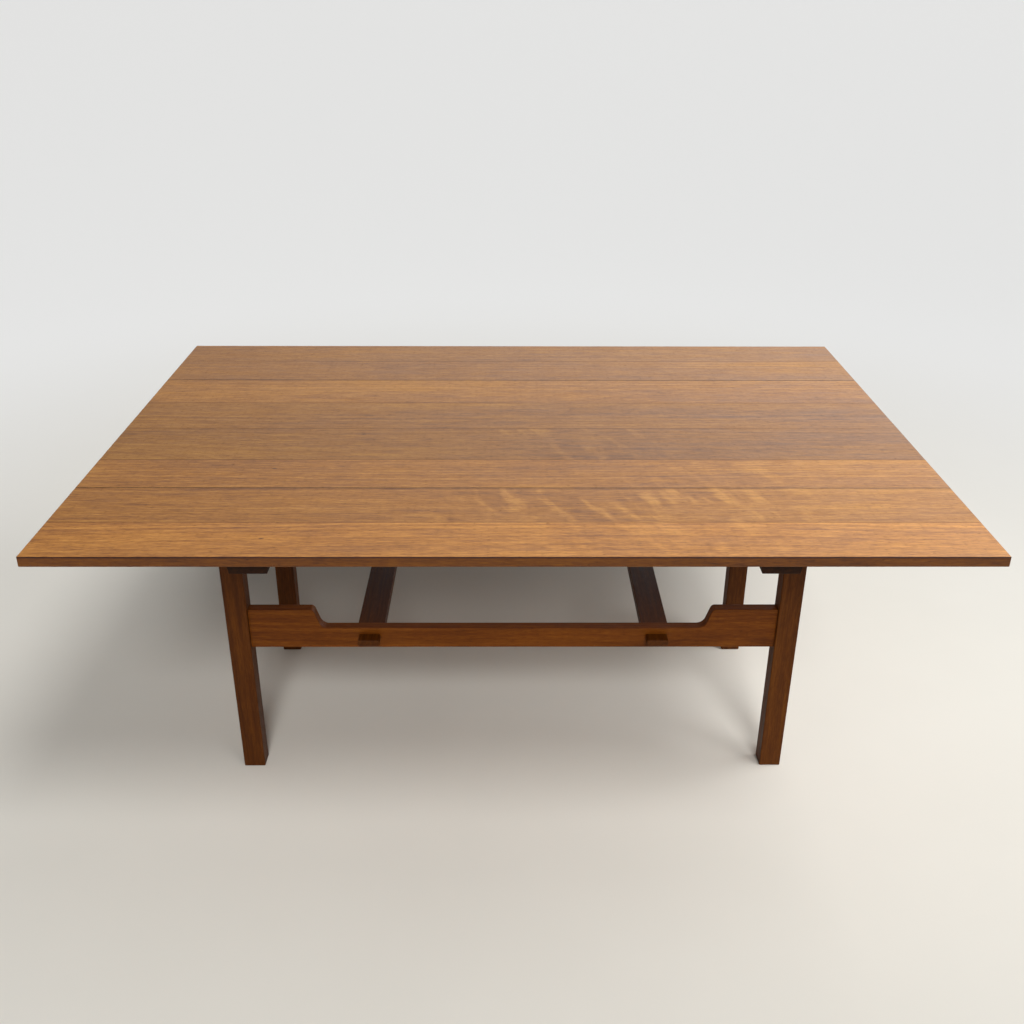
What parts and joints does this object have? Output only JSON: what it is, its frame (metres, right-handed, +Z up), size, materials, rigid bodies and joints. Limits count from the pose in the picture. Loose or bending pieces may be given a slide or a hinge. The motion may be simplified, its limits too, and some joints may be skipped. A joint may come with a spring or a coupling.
{
  "type": "drop leaf table",
  "caption": "Long wooden dining table with a fixed centre panel and a hinged leaf on each long side, shaped stretchers and through tenons.",
  "frame": {"origin": "on the floor under the middle of the table top", "axes": "+X along the length of the table, +Y across it towards the back leaf, +Z up"},
  "size_m": [1.71, 1.204, 0.73],
  "materials": {
    "panel_wood": "satin oiled hardwood, straight grain with a ripple figure in one board",
    "leaf_wood": "satin oiled hardwood, golden brown",
    "frame_wood": "satin oiled hardwood, darker red brown",
    "batten_wood": "satin oiled hardwood, dark",
    "button_wood": "planed, unfinished hardwood",
    "hinge_brass": "brushed, slightly tarnished",
    "screw_brass": "slotted heads, brushed",
    "screw_steel": "zinc plated, slotted heads",
    "stay_steel": "brushed, slightly scuffed",
    "washer_nylon": "natural nylon"
  },
  "bodies": {
    "base": {"back_apron": "frame_wood", "back_left_hinge_fixed_flap": "hinge_brass", "back_left_leg": "frame_wood", "back_middle_hinge_fixed_flap": "hinge_brass", "back_right_hinge_fixed_flap": "hinge_brass", "back_right_leg": "frame_wood", "back_stretcher": "frame_wood", "centre_bearer": "frame_wood", "centre_board_1": "panel_wood", "centre_board_2": "panel_wood", "centre_board_3": "panel_wood", "centre_board_4": "panel_wood", "frame_hardware_screws": "screw_brass", "front_apron": "frame_wood", "front_left_hinge_fixed_flap": "hinge_brass", "front_left_leg": "frame_wood", "front_middle_hinge_fixed_flap": "hinge_brass", "front_right_hinge_fixed_flap": "hinge_brass", "front_right_leg": "frame_wood", "front_stretcher": "frame_wood", "hinge_pins": "hinge_brass", "left_cross_stretcher": "frame_wood", "left_end_rail": "frame_wood", "right_cross_stretcher": "frame_wood", "right_end_rail": "frame_wood", "stay_base_brackets": "stay_steel", "stay_nuts": "stay_steel", "stay_studs": "stay_steel", "stay_washers": "washer_nylon", "top_buttons": "button_wood", "top_screws": "screw_steel"},
    "front_leaf": {"front_batten_screws": "screw_steel", "front_leaf_hardware_screws": "screw_brass", "front_leaf_inner_board": "leaf_wood", "front_leaf_outer_board": "leaf_wood", "front_left_batten": "batten_wood", "front_left_hinge_leaf_flap": "hinge_brass", "front_left_stay_leaf_bracket": "stay_steel", "front_middle_hinge_leaf_flap": "hinge_brass", "front_right_batten": "batten_wood", "front_right_hinge_leaf_flap": "hinge_brass", "front_right_stay_leaf_bracket": "stay_steel", "front_stay_rivets": "stay_steel"},
    "back_leaf": {"back_batten_screws": "screw_steel", "back_leaf_hardware_screws": "screw_brass", "back_leaf_inner_board": "leaf_wood", "back_leaf_outer_board": "leaf_wood", "back_left_batten": "batten_wood", "back_left_hinge_leaf_flap": "hinge_brass", "back_left_stay_leaf_bracket": "stay_steel", "back_middle_hinge_leaf_flap": "hinge_brass", "back_right_batten": "batten_wood", "back_right_hinge_leaf_flap": "hinge_brass", "back_right_stay_leaf_bracket": "stay_steel", "back_stay_rivets": "stay_steel"},
    "front_left_stay": {"front_left_stay_arm": "stay_steel"},
    "front_right_stay": {"front_right_stay_arm": "stay_steel"},
    "back_left_stay": {"back_left_stay_arm": "stay_steel"},
    "back_right_stay": {"back_right_stay_arm": "stay_steel"}
  },
  "joints": [
    {"name": "front_leaf_hinge", "type": "hinge", "parent": "base", "child": "front_leaf", "pos_m": [0, -0.319, 0.7135], "axis": [1, 0, 0], "range_deg": [0, 90]},
    {"name": "back_leaf_hinge", "type": "hinge", "parent": "base", "child": "back_leaf", "pos_m": [0, 0.319, 0.7135], "axis": [-1, 0, 0], "range_deg": [0, 90]},
    {"name": "front_left_stay_pivot", "type": "hinge", "parent": "front_leaf", "child": "front_left_stay", "pos_m": [-0.535, -0.42962, 0.696], "axis": [1, 0, 0], "range_deg": [-45, 0]},
    {"name": "front_right_stay_pivot", "type": "hinge", "parent": "front_leaf", "child": "front_right_stay", "pos_m": [0.535, -0.42962, 0.696], "axis": [1, 0, 0], "range_deg": [-45, 0]},
    {"name": "back_left_stay_pivot", "type": "hinge", "parent": "back_leaf", "child": "back_left_stay", "pos_m": [-0.535, 0.42962, 0.696], "axis": [-1, 0, 0], "range_deg": [-45, 0]},
    {"name": "back_right_stay_pivot", "type": "hinge", "parent": "back_leaf", "child": "back_right_stay", "pos_m": [0.535, 0.42962, 0.696], "axis": [-1, 0, 0], "range_deg": [-45, 0]}
  ],
  "couplings": [
    {"joint": "front_left_stay_pivot", "follows": "front_leaf_hinge", "ratio": -0.5},
    {"joint": "front_right_stay_pivot", "follows": "front_leaf_hinge", "ratio": -0.5},
    {"joint": "back_left_stay_pivot", "follows": "back_leaf_hinge", "ratio": -0.5},
    {"joint": "back_right_stay_pivot", "follows": "back_leaf_hinge", "ratio": -0.5}
  ]
}
